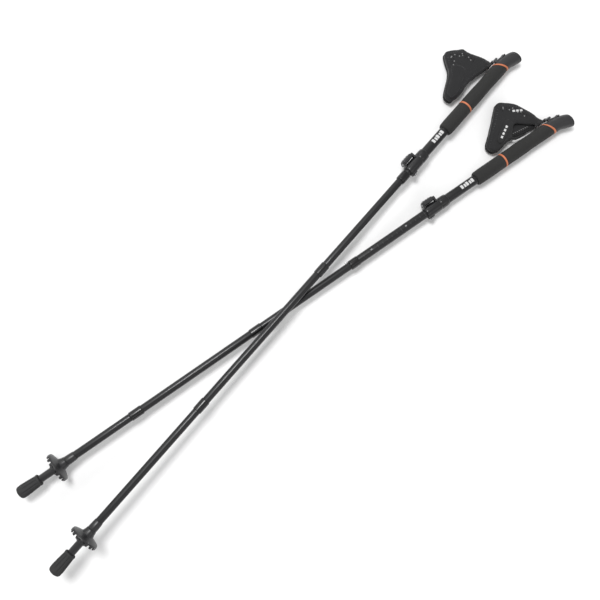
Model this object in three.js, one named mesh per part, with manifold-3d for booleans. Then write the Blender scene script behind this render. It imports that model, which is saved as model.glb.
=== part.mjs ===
// Pair of folding, length-adjustable trekking poles, lying crossed as one set.
// Millimetres, +Z up. +X runs from the tips to the grips, along the bisector of the two poles.
// The left pole lies over the right pole. Each pole is built in its own frame:
// local +X towards the grip, station s = distance from the head's end, so x = -s;
// local +Y is the side that the strap and the clamp lever are on.
import * as THREE from 'three';
import { mergeVertices } from 'three/addons/utils/BufferGeometryUtils.js';
import Module from 'manifold-3d';

const wasm = await Module();
wasm.setup();

// ---------------------------------------------------------------- driving dimensions
const HALF_ANGLE = 6.92;        // degrees, each pole off the bisector
const GAP = 0.3;                // clearance between touching pieces
const N = 16;                   // sides of the shafts
const NG = 20;                  // sides of the grip and the rubber foot

const HEAD_R = 13.0;            // grip head radius
const HEAD_LEAN = 9.0;          // how far the head leans off the shaft axis
const SEAM_SLANT = 0.5;         // slope of the slanted seam under the head
const FOAM_R = 13.0;
const TUBE_R = 8.5, TUBE_IN = 7.8;        // upper tube
const ADJ_R = 7.5, ADJ_IN = 6.8;          // length-adjusting tube
const SEC_R = 6.5, SEC_IN = 5.8;          // folding sections
const FER_R = 7.6, FER_LEN = 22;          // ferrules
const SPIG_R = 5.5, SPIG_BORE = 2.0, SPIG_IN = 30, SPIG_HELD = 20;
const CORD_R = 1.25;
const COLLAR_R = 10.6, COLLAR_LEN = 46.5;
const PIN_Y = 14.4, PIN_Z = 6.0, PIN_R = 1.5;
const SLEEVE_R = 8.3, SLEEVE_LEN = 17.4;
const ADJ_LEN = 215;
const BUTTON_R = 2.2;
const BASKET_R = 24.4, TEETH = 16;
const SHAFT_R = 6.2;
const FOOT_LEN = 38.5, FOOT_R0 = 8.7, FOOT_R1 = 10.8;

// stations of each pole, millimetres from the head's end
const POLES = {
  left: {
    head: [581.83, 77.40, 13.0], yaw: HALF_ANGLE, tilt: 2.088,
    seam: 36.3, ring2: 137.0, grip: 198, collar: 253, sleeve: 321.4, f1: 518.5, f2: 816,
    basket: 1089.7, end: 1161, button: -1,
    // strap outline: station, inner edge, outer edge
    strap: [[42, 14.2, 24], [47, 14.4, 40], [52, 15, 50], [57, 16, 72], [64, 17.4, 76.5], [74, 20, 85],
      [85, 22, 91.5], [93, 23, 84.5], [101, 23, 72], [112, 22, 60], [124, 19, 54], [138, 23, 46.5], [149, 25, 40]],
    strapZ: [-14.4, 1.6], tab: -1,
  },
  right: {
    head: [579.63, -71.22, 13.0], yaw: -HALF_ANGLE, tilt: 0.678,
    seam: 42.6, ring2: 147.5, grip: 211, collar: 274.5, sleeve: 483.4, f1: 665, f2: 899.5,
    basket: 1054.0, end: 1127.5, button: 1,
    strap: [[42, 14.2, 20], [48, 14.4, 26], [54, 14.8, 45], [60, 15, 56], [67, 15.2, 70], [78, 16, 80.5],
      [90, 18, 89.5], [97, 19.6, 91], [105, 21, 84], [118, 22, 71.5], [130, 20, 60.5], [143, 16.5, 50], [158, 21.5, 38.5]],
    strapZ: [-12.6, 3.0], tab: 1,
  },
};

// ---------------------------------------------------------------- helpers
function closed(geometry) {
  let g = geometry.index ? geometry.toNonIndexed() : geometry.clone();
  for (const name of Object.keys(g.attributes)) if (name !== 'position') g.deleteAttribute(name);
  g = mergeVertices(g, 1e-4);
  const idx = g.index.array, pos = g.attributes.position, keep = [];
  let vol = 0;
  const a = new THREE.Vector3(), b = new THREE.Vector3(), c = new THREE.Vector3();
  for (let i = 0; i < idx.length; i += 3) {
    if (idx[i] === idx[i + 1] || idx[i + 1] === idx[i + 2] || idx[i] === idx[i + 2]) continue;
    keep.push(idx[i], idx[i + 1], idx[i + 2]);
    a.fromBufferAttribute(pos, idx[i]); b.fromBufferAttribute(pos, idx[i + 1]); c.fromBufferAttribute(pos, idx[i + 2]);
    vol += a.dot(b.cross(c));
  }
  if (vol < 0) for (let i = 0; i < keep.length; i += 3) [keep[i], keep[i + 1]] = [keep[i + 1], keep[i]];
  g.setIndex(keep);
  return g;
}
function toSolid(geometry) {
  const g = closed(geometry);
  return new wasm.Manifold(new wasm.Mesh({
    numProp: 3,
    vertProperties: new Float32Array(g.attributes.position.array),
    triVerts: new Uint32Array(g.index.array),
  }));
}
function fromSolid(solid) {
  const m = solid.getMesh();
  const g = new THREE.BufferGeometry();
  g.setAttribute('position', new THREE.BufferAttribute(new Float32Array(m.vertProperties), 3));
  g.setIndex(Array.from(m.triVerts));
  return g;
}
// solid of revolution about the pole's axis, profile = [[station, radius], ...]
function turned(profile, sides = N) {
  const g = new THREE.LatheGeometry(profile.map(([s, r]) => new THREE.Vector2(r, s)), sides);
  const p = g.attributes.position;
  for (let i = 0; i < p.count; i++) p.setXYZ(i, -p.getY(i), p.getX(i), p.getZ(i));
  return g;
}
function ring(s0, s1, rIn, rOut, sides = N) {
  return turned([[s0, rIn], [s1, rIn], [s1, rOut], [s0, rOut], [s0, rIn]], sides);
}
function rod(s0, s1, r, sides = N) {
  return turned([[s0, 0], [s0, r], [s1, r], [s1, 0]], sides);
}
function warp(g, fn) {
  const p = g.attributes.position, v = new THREE.Vector3();
  for (let i = 0; i < p.count; i++) { v.fromBufferAttribute(p, i); fn(v); p.setXYZ(i, v.x, v.y, v.z); }
  return g;
}
function box(s0, s1, y0, y1, z0, z1) {
  const g = new THREE.BoxGeometry(s1 - s0, y1 - y0, z1 - z0);
  g.translate(-(s0 + s1) / 2, (y0 + y1) / 2, (z0 + z1) / 2);
  return g;
}
// round bar across the pole, along y
function crossBar(s, z, y0, y1, r, sides = 12) {
  const g = new THREE.CylinderGeometry(r, r, y1 - y0, sides);
  g.translate(-s, (y0 + y1) / 2, z);
  return g;
}
// section in the y-z plane, extruded along the pole
function bar(points, s0, s1) {
  const shape = new THREE.Shape(points.map(([y, z]) => new THREE.Vector2(y, z)));
  const g = new THREE.ExtrudeGeometry(shape, { depth: s1 - s0, bevelEnabled: false, steps: 1 });
  return warp(g, (v) => { const { x, y, z } = v; v.set(-(s0 + z), x, y); });
}
const smooth = (t) => { const u = Math.min(1, Math.max(0, t)); return u * u * (3 - 2 * u); };
// the head leans off the axis, and the seam under it is slanted
function grip(v) {
  const s = -v.x;
  const k = SEAM_SLANT * smooth((s - 12) / 20) * (1 - smooth((s - 42) / 22));
  const lean = s < 40 ? -HEAD_LEAN * Math.pow((40 - s) / 40, 1.7) : 0;
  v.x = -(s + k * v.y);
  v.y += lean;
}

// ---------------------------------------------------------------- pieces of one pole
function strapSleeve(stations, [z0, z1]) {
  // flattened band, open at both ends: outer and inner loops of 12 points lofted along the stations
  const wall = 3.0, M = 12;
  const loop = (s, ya, yb, za, zb) => {
    const out = [], cy = (ya + yb) / 2, cz = (za + zb) / 2, hy = (yb - ya) / 2, hz = (zb - za) / 2;
    for (let i = 0; i < M; i++) {
      const t = (i / M) * 2 * Math.PI, c = Math.cos(t), q = Math.sin(t);
      const e = 0.55;
      out.push([-s, cy + hy * Math.sign(c) * Math.pow(Math.abs(c), e), cz + hz * Math.sign(q) * Math.pow(Math.abs(q), e)]);
    }
    return out;
  };
  const pos = [], idx = [], K = stations.length;
  stations.forEach(([s, ya, yb], i) => {
    const t = i / (K - 1), squeeze = 1 - 0.42 * Math.pow(Math.abs(2 * t - 1), 3);
    const cz = (z0 + z1) / 2, hz = ((z1 - z0) / 2) * squeeze;
    const w = Math.min(wall, (yb - ya) * 0.28);
    for (const p of loop(s, ya, yb, cz - hz, cz + hz)) pos.push(...p);
    for (const p of loop(s, ya + w, yb - w, cz - hz + wall, cz + hz - wall)) pos.push(...p);
  });
  const O = (i, j) => i * 2 * M + (j % M), I = (i, j) => i * 2 * M + M + (j % M);
  for (let i = 0; i < K - 1; i++) for (let j = 0; j < M; j++) {
    idx.push(O(i, j), O(i + 1, j), O(i + 1, j + 1), O(i, j), O(i + 1, j + 1), O(i, j + 1));
    idx.push(I(i, j), I(i + 1, j + 1), I(i + 1, j), I(i, j), I(i, j + 1), I(i + 1, j + 1));
  }
  for (let j = 0; j < M; j++) {
    idx.push(O(0, j), O(0, j + 1), I(0, j + 1), O(0, j), I(0, j + 1), I(0, j));
    idx.push(O(K - 1, j), I(K - 1, j + 1), O(K - 1, j + 1), O(K - 1, j), I(K - 1, j), I(K - 1, j + 1));
  }
  const g = new THREE.BufferGeometry();
  g.setAttribute('position', new THREE.Float32BufferAttribute(pos, 3));
  g.setIndex(idx);
  return g;
}

function pieces(d) {
  const out = {};
  const c0 = d.collar, sl1 = d.sleeve, sl0 = sl1 - SLEEVE_LEN;
  const tubeTop = 32, tubeEnd = c0 + 40;
  const joint1 = d.f1 + 12, joint2 = d.f2 + 12;

  // head: shell, cap, button, strap latch
  const sm = d.seam;
  const headProfile = [[3.3, 0], [3.3, 12.7], [8, 12.95], [14, HEAD_R], [22, 12.9], [30, 12.7], [sm - 0.3, 12.6], [sm - 0.3, 0]];
  let shell = toSolid(warp(turned(headProfile, NG), grip));
  shell = shell.subtract(toSolid(rod(31.4, 60, TUBE_R + GAP)));
  shell = shell.subtract(toSolid(crossBar(34, 0, 9.6, 30, 3.0)));
  shell = shell.subtract(toSolid(box(14.7, 24.3, 3.6, 30, -4.5, 4.5)));
  out.head_shell = fromSolid(shell);
  out.head_cap = warp(turned([[0, 0], [0, 10.6], [0.9, 12.1], [3, 12.6], [3, 0]], NG), grip);
  out.release_button = box(15, 24, 6.2, 12.0, -4.2, 4.2);
  let anchor = toSolid(box(29.5, 41.6, 13.3, 17.6, -5, 5));
  anchor = anchor.add(toSolid(crossBar(34, 0, 10.2, 14.0, 2.6)));
  out.strap_anchor = fromSolid(anchor);
  out.strap_wrap = strapSleeve(d.strap, d.strapZ);

  // tab of the strap's adjuster, on the outside face of the wrap
  const tz = d.tab > 0 ? d.strapZ[1] + 0.9 : d.strapZ[0] - 2.6;
  const tab = new THREE.Shape([[-22, -6.5], [20, -6.5], [23.5, -4], [24.5, 0], [23.5, 4], [20, 6.5], [-22, 6.5]].map(([x, y]) => new THREE.Vector2(x, y)));
  const tg = new THREE.ExtrudeGeometry(tab, { depth: 1.7, bevelEnabled: false, steps: 1 });
  tg.rotateZ(THREE.MathUtils.degToRad(30));
  tg.translate(-(d.tab > 0 ? 118 : 106), 40, tz);
  out.strap_tab = tg;

  // grip
  out.accent_ring_upper = warp(ring(sm, sm + 3.3, TUBE_R + GAP, 12.9, NG), grip);
  out.grip_foam_upper = warp(turned([[sm + 3.6, TUBE_R + GAP], [d.ring2 - GAP, TUBE_R + GAP], [d.ring2 - GAP, 12.7],
    [118, FOAM_R], [88, 12.5], [62, 12.7], [54, 12.85], [sm + 3.6, 12.8], [sm + 3.6, TUBE_R + GAP]], NG), grip);
  out.accent_ring_lower = ring(d.ring2, d.ring2 + 3.2, TUBE_R + GAP, 12.9, NG);
  out.grip_foam_lower = turned([[d.ring2 + 3.5, TUBE_R + GAP], [d.grip, TUBE_R + GAP], [d.grip, 10.4], [d.grip - 3, 12.2],
    [d.grip - 14, 12.9], [d.ring2 + 3.5, 12.7], [d.ring2 + 3.5, TUBE_R + GAP]], NG);
  out.upper_tube = ring(tubeTop, tubeEnd, TUBE_IN, TUBE_R);

  // external lever clamp
  let collar = toSolid(turned([[c0, TUBE_R + GAP], [tubeEnd + 0.5, TUBE_R + GAP], [tubeEnd + 0.5, ADJ_R + 0.35], [c0 + COLLAR_LEN, ADJ_R + 0.35],
    [c0 + COLLAR_LEN, 9.6], [c0 + COLLAR_LEN - 3, COLLAR_R], [c0 + 5, COLLAR_R], [c0, 9.9], [c0, TUBE_R + GAP]], N));
  for (const [a, b] of [[c0 + 19, c0 + 22.4], [c0 + 42.6, c0 + 46]]) {
    let ear = toSolid(bar([[4, 9.2], [9.4, 2.2], [16.4, 2.2], [18, 4], [18, 8], [16.2, 9.8], [8, 9.8]], a, b));
    ear = ear.subtract(toSolid(rod(a - 3, b + 3, 8.9)));
    collar = collar.add(ear);
  }
  collar = collar.add(toSolid(bar([[-8.6, -5], [-12.4, -3.6], [-12.4, 3.6], [-8.6, 5]], c0 + 35, c0 + 46)).subtract(toSolid(rod(c0, c0 + 60, 9.2))));
  const pinHole = rod(c0, c0 + 60, PIN_R + GAP, 12); pinHole.translate(0, PIN_Y, PIN_Z);
  collar = collar.subtract(toSolid(pinHole));
  collar = collar.subtract(toSolid(crossBar(c0 + 40.6, 0, -20, -10.2, 1.9)));
  out.clamp_collar = fromSolid(collar);
  const lever = toSolid(bar([[11.4, 4.4], [11.4, 8.4], [14.4, 10.4], [17.8, 9.8], [19.4, 7.4], [20.0, 3], [19.6, -3], [17.6, -8], [13.6, -12.2],
    [10.8, -11.2], [11.4, -7.4], [11.2, -3.6], [11.1, 1.0]], c0 + 22.8, c0 + 42.2));
  const leverHole = rod(c0, c0 + 60, PIN_R + 0.5, 12); leverHole.translate(0, PIN_Y + 0.4, PIN_Z);
  const pin = rod(c0 + 18.6, c0 + 46.4, PIN_R, 12); pin.translate(0, PIN_Y, PIN_Z);
  const leverBore = rod(c0, c0 + 60, PIN_R + 0.4, 12); leverBore.translate(0, PIN_Y, PIN_Z);
  out.clamp_lever = fromSolid(lever.subtract(toSolid(leverBore)));
  out.clamp_pin = pin;
  out.clamp_screw = (() => {
    let g = toSolid(crossBar(c0 + 40.6, 0, -14.2, -12.7, 3.0));
    g = g.add(toSolid(crossBar(c0 + 40.6, 0, -13.0, -10.6, 1.5)));
    return fromSolid(g);
  })();

  // adjusting tube and its lower sleeve
  out.adjust_tube = ring(sl1 - ADJ_LEN, sl1 - 3.2, ADJ_IN, ADJ_R);
  out.lock_sleeve = turned([[sl0, ADJ_R + GAP], [sl1 - 2.9, ADJ_R + GAP], [sl1 - 2.9, SEC_R + GAP], [sl1, SEC_R + GAP],
    [sl1, 7.6], [sl1 - 1.2, SLEEVE_R], [sl0 + 1, SLEEVE_R], [sl0, 8.1], [sl0, ADJ_R + GAP]], N);
  const y = d.button, bs = sl1 + 3.4;
  out.snap_button = crossBar(bs, 0, Math.min(y * 4.2, y * 8.7), Math.max(y * 4.2, y * 8.7), BUTTON_R);

  // folding sections, ferrules, spigots, cord
  out.section_1_tube = fromSolid(toSolid(ring(sl1 - 40, joint1, SEC_IN, SEC_R))
    .subtract(toSolid(crossBar(bs, 0, Math.min(y * 3, y * 12), Math.max(y * 3, y * 12), BUTTON_R + GAP))));
  const ferrule = (a) => turned([[a, SEC_R + GAP], [a + FER_LEN, SEC_R + GAP], [a + FER_LEN, 7.2], [a + FER_LEN - 1, FER_R],
    [a + 1, FER_R], [a, 7.2], [a, SEC_R + GAP]], N);
  out.ferrule_1 = ferrule(d.f1);
  out.spigot_1 = ring(joint1 - SPIG_IN, joint1 + SPIG_HELD, SPIG_BORE, SPIG_R);
  out.section_2_tube = ring(joint1 + 0.5, joint2, SEC_IN, SEC_R);
  out.ferrule_2 = ferrule(d.f2);
  out.spigot_2 = ring(joint2 - SPIG_IN, joint2 + SPIG_HELD, SPIG_BORE, SPIG_R);
  out.section_3_tube = ring(joint2 + 0.5, d.basket - 14, SEC_IN, SEC_R);
  out.tension_cord = rod(sl1 - 24, joint2 + 30, CORD_R, 8);

  // tip: shaft, basket, carbide point, rubber foot
  const b = d.basket, e = d.end;
  out.tip_shaft = turned([[b - 29, SEC_R + GAP], [b - 13.5, SEC_R + GAP], [b - 13.5, 0], [e - 24.5, 0], [e - 24.5, 3.1], [e - 15, 3.1], [e - 15, 5.0],
    [e - 20, SHAFT_R], [b - 13, 6.4], [b - 13.2, 7.7], [b - 19, 7.7], [b - 28, 7.2], [b - 29, SEC_R + GAP]], N);
  out.carbide_tip = turned([[e - 24.2, 0], [e - 24.2, 2.8], [e - 12, 2.8], [e - 9, 2.0], [e - 9, 0]], 12);
  const NB = TEETH * 3;
  const dish = turned([[b - 12.8, 6.75], [b + 12.5, 6.75], [b + 12.5, 8.3], [b + 8.2, 8.6], [b + 7.6, 7.8], [b + 1.6, 8.4], [b + 3.0, 15],
    [b + 5.4, BASKET_R - 1.2], [b + 4.2, BASKET_R], [b + 1.4, BASKET_R - 0.6], [b - 1.2, 15.5], [b - 3.4, 10.2], [b - 9, 8.6], [b - 12.8, 8.2], [b - 12.8, 6.75]], NB);
  out.basket = warp(dish, (v) => {
    const r = Math.hypot(v.y, v.z);
    if (r > BASKET_R - 2) {
      const k = Math.round((Math.atan2(v.y, v.z) / (2 * Math.PI)) * NB);
      if (((k % 3) + 3) % 3 === 0) { const q = (r - 2.4) / r; v.y *= q; v.z *= q; v.x += 1.2; }
    }
  });
  out.tip_protector = turned([[e - FOOT_LEN, SHAFT_R + 0.4], [e - 14.5, SHAFT_R + 0.4], [e - 14.5, 3.4], [e - 7.5, 3.4], [e - 7.5, 0], [e, 0],
    [e, 6.5], [e - 1.4, 9.2], [e - 4, 10.5], [e - 10, FOOT_R1], [e - 24, 9.8], [e - FOOT_LEN + 1, FOOT_R0], [e - FOOT_LEN, 8.3], [e - FOOT_LEN, SHAFT_R + 0.4]], NG);
  return out;
}

// ---------------------------------------------------------------- materials (colour, roughness, metalness)
const LOOK = {
  head_shell: [0x323234, 0.5, 0], head_cap: [0x2a2a2c, 0.6, 0], release_button: [0x3a3a3c, 0.4, 0], strap_anchor: [0x222224, 0.45, 0],
  strap_wrap: [0x242426, 0.9, 0], strap_tab: [0x1c1c1e, 0.85, 0], accent_ring_upper: [0xcd7855, 0.55, 0], grip_foam_upper: [0x30302f, 0.95, 0],
  accent_ring_lower: [0xcd7855, 0.55, 0], grip_foam_lower: [0x30302f, 0.95, 0], upper_tube: [0x2a2b2e, 0.35, 0.3],
  clamp_collar: [0x1f1f21, 0.4, 0], clamp_lever: [0x2c2c2e, 0.35, 0], clamp_pin: [0xb0b0b2, 0.3, 1], clamp_screw: [0xa5a5a8, 0.3, 1],
  adjust_tube: [0x2c2d30, 0.35, 0.3], lock_sleeve: [0x0d0d0e, 0.12, 0], snap_button: [0xc8c8ca, 0.2, 1], section_1_tube: [0x2b2c2f, 0.35, 0.3],
  ferrule_1: [0x0d0d0e, 0.12, 0], spigot_1: [0x8e9094, 0.35, 1], section_2_tube: [0x2b2c2f, 0.35, 0.3], ferrule_2: [0x0d0d0e, 0.12, 0],
  spigot_2: [0x8e9094, 0.35, 1], section_3_tube: [0x2b2c2f, 0.35, 0.3], tension_cord: [0x1a1a1a, 0.8, 0], tip_shaft: [0x222224, 0.45, 0],
  basket: [0x1d1d1f, 0.5, 0], carbide_tip: [0x77797c, 0.35, 1], tip_protector: [0x242424, 0.75, 0],
};

// ---------------------------------------------------------------- assembly
const group = new THREE.Group();
for (const [side, d] of Object.entries(POLES)) {
  const pole = new THREE.Group();
  pole.position.set(...d.head);
  pole.rotation.set(0, THREE.MathUtils.degToRad(d.tilt), THREE.MathUtils.degToRad(d.yaw), 'ZYX');
  for (const [name, geometry] of Object.entries(pieces(d))) {
    const [color, roughness, metalness] = LOOK[name];
    const mesh = new THREE.Mesh(closed(geometry), new THREE.MeshStandardMaterial({ color, roughness, metalness }));
    mesh.name = `${side}_${name}`;
    pole.add(mesh);
  }
  group.add(pole);
}
// origin: middle of the set's footprint, on the surface that it lies on
group.updateMatrixWorld(true);
const extent = new THREE.Box3().setFromObject(group, true);
group.position.set(-(extent.min.x + extent.max.x) / 2, -(extent.min.y + extent.max.y) / 2, -extent.min.z);
group.updateMatrixWorld(true);

export default group;
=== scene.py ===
import bpy, bmesh, math
from mathutils import Vector, Matrix
from mathutils.bvhtree import BVHTree


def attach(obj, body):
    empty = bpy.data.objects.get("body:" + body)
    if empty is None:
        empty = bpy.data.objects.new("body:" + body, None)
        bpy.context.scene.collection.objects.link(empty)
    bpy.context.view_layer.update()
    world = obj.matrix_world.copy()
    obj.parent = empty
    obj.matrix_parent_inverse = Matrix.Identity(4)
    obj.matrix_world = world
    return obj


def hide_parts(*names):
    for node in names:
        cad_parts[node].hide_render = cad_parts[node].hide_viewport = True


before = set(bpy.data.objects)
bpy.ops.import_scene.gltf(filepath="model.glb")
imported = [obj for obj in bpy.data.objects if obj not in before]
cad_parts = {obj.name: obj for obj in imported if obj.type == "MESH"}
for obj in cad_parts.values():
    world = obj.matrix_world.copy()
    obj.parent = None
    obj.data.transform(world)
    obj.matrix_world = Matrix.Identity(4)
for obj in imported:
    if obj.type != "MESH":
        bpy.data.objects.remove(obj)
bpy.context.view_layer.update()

scene = bpy.context.scene

# ------------------------------------------------------------------ layout, as the CAD model has it (mm)
OFF = (-6.7413491, -33.1261260, 0.9410325)
HALF = 6.92
P = {
    "left": dict(head=(581.83, 77.40, 13.0), yaw=HALF, tilt=2.088, seam=36.3, ring2=137.0, grip=198, collar=253, sleeve=321.4,
                 f1=518.5, f2=816, basket=1089.7, end=1161, button=-1, tab=-1, z=(-14.4, 1.6)),
    "right": dict(head=(579.63, -71.22, 13.0), yaw=-HALF, tilt=0.678, seam=42.6, ring2=147.5, grip=211, collar=274.5, sleeve=483.4,
                  f1=665, f2=899.5, basket=1054.0, end=1127.5, button=1, tab=1, z=(-12.6, 3.0)),
}
STRAP = {
    "left": [(41.5, 20), (44, 31), (48.5, 42), (53, 52), (56, 60), (56.5, 67), (58, 73), (62, 74.5), (69, 80), (78, 87.5), (86, 91.5),
             (93, 85), (100.5, 74), (106, 65), (116, 57.5), (130, 51), (143, 44), (149.5, 39), (150.3, 31), (147, 23.5),
             (138, 24), (125, 20.5), (117, 22.5), (106, 24.5), (96, 24.5), (77, 21.5), (64, 18.6), (54, 16.4), (46, 15.2), (41.5, 15.0)],
    "right": [(43, 20), (48.5, 25), (51, 35.5), (55, 45), (61, 56), (65.5, 65), (71, 72.5), (80, 79), (94, 90.5), (101.5, 86),
              (113, 75.5), (125, 65), (143, 49.5), (158, 38), (159.5, 30), (156, 23), (150, 18.5), (139, 18.5), (127.5, 22),
              (116, 23.5), (98, 20.8), (83, 17.4), (64, 16.0), (50, 15.4), (43, 15.2)],
}
M = {}
for side, d in P.items():
    M[side] = (Matrix.Translation(Vector(OFF) / 1000) @ Matrix.Translation(Vector(d["head"]) / 1000)
               @ Matrix.Rotation(math.radians(d["yaw"]), 4, "Z") @ Matrix.Rotation(math.radians(d["tilt"]), 4, "Y"))


# ------------------------------------------------------------------ materials
def material(name, base, rough, metal=0.0, coat=0.0, scale=400.0, vary=0.25, bump=0.1, bump_dist=0.0002, kind="noise",
             sheen=0.0, rough_vary=0.08, wear=0.0, wear_col=(0.3, 0.3, 0.31)):
    m = bpy.data.materials.new(name)
    m.use_nodes = True
    nt = m.node_tree
    b = nt.nodes["Principled BSDF"]
    tc = nt.nodes.new("ShaderNodeTexCoord")
    L = nt.links.new
    if kind == "noise":
        t = nt.nodes.new("ShaderNodeTexNoise")
        t.inputs["Scale"].default_value = scale
        t.inputs["Detail"].default_value = 6.0
        fac = t.outputs["Fac"]
    elif kind == "cells":
        t = nt.nodes.new("ShaderNodeTexVoronoi")
        t.inputs["Scale"].default_value = scale
        fac = t.outputs["Distance"]
    else:
        t = nt.nodes.new("ShaderNodeTexWave")
        t.inputs["Scale"].default_value = scale
        t.inputs["Distortion"].default_value = 0.4
        t.bands_direction = "DIAGONAL"
        t2 = nt.nodes.new("ShaderNodeTexWave")
        t2.inputs["Scale"].default_value = scale
        t2.inputs["Distortion"].default_value = 0.4
        t2.bands_direction = "Y"
        mx = nt.nodes.new("ShaderNodeMath")
        mx.operation = "MULTIPLY"
        L(tc.outputs["Object"], t2.inputs["Vector"])
        L(t.outputs["Fac"], mx.inputs[0])
        L(t2.outputs["Fac"], mx.inputs[1])
        fac = mx.outputs[0]
    L(tc.outputs["Object"], t.inputs["Vector"])
    big = nt.nodes.new("ShaderNodeTexNoise")
    big.inputs["Scale"].default_value = 38.0
    big.inputs["Detail"].default_value = 5.0
    L(tc.outputs["Object"], big.inputs["Vector"])
    mix = nt.nodes.new("ShaderNodeMixRGB")
    lo = tuple(c * (1 - vary) for c in base)
    hi = tuple(min(1, c * (1 + vary)) for c in base)
    mix.inputs["Color1"].default_value = (*lo, 1)
    mix.inputs["Color2"].default_value = (*hi, 1)
    L(fac, mix.inputs["Fac"])
    m2 = nt.nodes.new("ShaderNodeMixRGB")
    m2.blend_type = "MULTIPLY"
    m2.inputs["Fac"].default_value = 0.35
    ramp = nt.nodes.new("ShaderNodeValToRGB")
    ramp.color_ramp.elements[0].color = (0.7, 0.7, 0.7, 1)
    ramp.color_ramp.elements[1].color = (1, 1, 1, 1)
    L(big.outputs["Fac"], ramp.inputs["Fac"])
    L(mix.outputs["Color"], m2.inputs["Color1"])
    L(ramp.outputs["Color"], m2.inputs["Color2"])
    col = m2.outputs["Color"]
    if wear > 0:
        geo = nt.nodes.new("ShaderNodeNewGeometry")
        wr = nt.nodes.new("ShaderNodeMapRange")
        wr.inputs["From Min"].default_value = 0.53
        wr.inputs["From Max"].default_value = 0.62
        wr.inputs["To Max"].default_value = wear
        L(geo.outputs["Pointiness"], wr.inputs["Value"])
        m3 = nt.nodes.new("ShaderNodeMixRGB")
        m3.inputs["Color2"].default_value = (*wear_col, 1)
        L(wr.outputs["Result"], m3.inputs["Fac"])
        L(col, m3.inputs["Color1"])
        col = m3.outputs["Color"]
    L(col, b.inputs["Base Color"])
    rr = nt.nodes.new("ShaderNodeMapRange")
    rr.inputs["To Min"].default_value = max(0.02, rough - rough_vary)
    rr.inputs["To Max"].default_value = min(1.0, rough + rough_vary)
    L(big.outputs["Fac"], rr.inputs["Value"])
    L(rr.outputs["Result"], b.inputs["Roughness"])
    bp = nt.nodes.new("ShaderNodeBump")
    bp.inputs["Strength"].default_value = bump
    bp.inputs["Distance"].default_value = bump_dist
    L(fac, bp.inputs["Height"])
    L(bp.outputs["Normal"], b.inputs["Normal"])
    b.inputs["Metallic"].default_value = metal
    b.inputs["Coat Weight"].default_value = coat
    b.inputs["Coat Roughness"].default_value = 0.06
    b.inputs["Sheen Weight"].default_value = sheen
    b.inputs["Sheen Roughness"].default_value = 0.5
    return m


MAT = dict(
    grip_plastic=material("grip_plastic", (0.022, 0.022, 0.024), 0.48, scale=1500, bump=0.25, wear=0.25),
    latch_plastic=material("latch_plastic", (0.02, 0.02, 0.022), 0.36, scale=1200, bump=0.12, wear=0.3),
    foam=material("foam", (0.019, 0.019, 0.0185), 0.93, kind="cells", scale=1300, vary=0.45, bump=0.5, bump_dist=0.0003, sheen=0.05),
    accent=material("accent", (0.60, 0.185, 0.085), 0.55, scale=900, vary=0.08, bump=0.1),
    shaft=material("shaft", (0.017, 0.0172, 0.0182), 0.36, metal=0.45, coat=0.12, scale=700, vary=0.2, bump=0.0, rough_vary=0.03),
    gloss_black=material("gloss_black", (0.0032, 0.0032, 0.0036), 0.24, coat=0.0, scale=300, vary=0.1, bump=0.0, rough_vary=0.02),
    clamp_plastic=material("clamp_plastic", (0.010, 0.010, 0.011), 0.30, scale=1300, bump=0.15, wear=0.35),
    steel=material("steel", (0.42, 0.42, 0.43), 0.3, metal=1.0, scale=900, bump=0.05),
    chrome=material("chrome", (0.86, 0.86, 0.87), 0.24, metal=1.0, scale=500, vary=0.05, bump=0.02),
    alloy=material("alloy", (0.5, 0.5, 0.52), 0.3, metal=1.0, scale=900, bump=0.05),
    cord=material("cord", (0.02, 0.02, 0.02), 0.85, kind="weave", scale=600, bump=0.5),
    tip_plastic=material("tip_plastic", (0.014, 0.014, 0.015), 0.36, scale=1300, bump=0.15, wear=0.3),
    rubber=material("rubber", (0.021, 0.021, 0.0215), 0.72, scale=1600, vary=0.3, bump=0.3, wear=0.15),
    strap_fabric=material("strap_fabric", (0.0125, 0.0125, 0.014), 0.84, kind="weave", scale=330, vary=0.55, bump=0.55,
                          bump_dist=0.0004, sheen=0.15),
    hook_tape=material("hook_tape", (0.012, 0.012, 0.013), 0.9, kind="cells", scale=900, vary=0.6, bump=0.8, bump_dist=0.0005, sheen=0.15),
    binding=material("binding", (0.013, 0.013, 0.014), 0.7, kind="weave", scale=700, vary=0.4, bump=0.5, sheen=0.1),
    # near-black disc colour for the perforations: painted shade standing in for the depth of each hole, darker than the
    # fabric itself
    painted_hole_shade=material("painted_hole_shade", (0.003, 0.003, 0.003), 0.95, scale=500, bump=0.05),
    thread=material("thread", (0.05, 0.05, 0.053), 0.6, scale=2500, bump=0.5, sheen=0.2),
    print_white=material("print_white", (0.62, 0.62, 0.62), 0.5, scale=900, vary=0.06, bump=0.03),
    print_scale=material("print_scale", (0.22, 0.225, 0.23), 0.45, scale=900, vary=0.1, bump=0.03),
    print_faint=material("print_faint", (0.045, 0.046, 0.048), 0.45, scale=900, vary=0.1, bump=0.03),
    eyelet=material("eyelet", (0.22, 0.22, 0.22), 0.5, scale=900, vary=0.2, bump=0.05),
)


# ------------------------------------------------------------------ mesh helpers (local mm -> world m)
def emit(name, side, verts, faces, mat, sharp=38, slot=None):
    me = bpy.data.meshes.new(name)
    me.from_pydata([M[side] @ (Vector(v) / 1000) for v in verts], [], faces)
    bm = bmesh.new()
    bm.from_mesh(me)
    bmesh.ops.remove_doubles(bm, verts=bm.verts, dist=1e-6)
    bmesh.ops.dissolve_degenerate(bm, edges=bm.edges, dist=1e-7)
    bmesh.ops.recalc_face_normals(bm, faces=bm.faces)
    bm.to_mesh(me)
    bm.free()
    ob = bpy.data.objects.new(name, me)
    scene.collection.objects.link(ob)
    me.materials.append(MAT[mat])
    for p in me.polygons:
        p.use_smooth = True
    me.set_sharp_from_angle(angle=math.radians(sharp))
    if slot is None:
        slot = mat
    return ob


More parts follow.
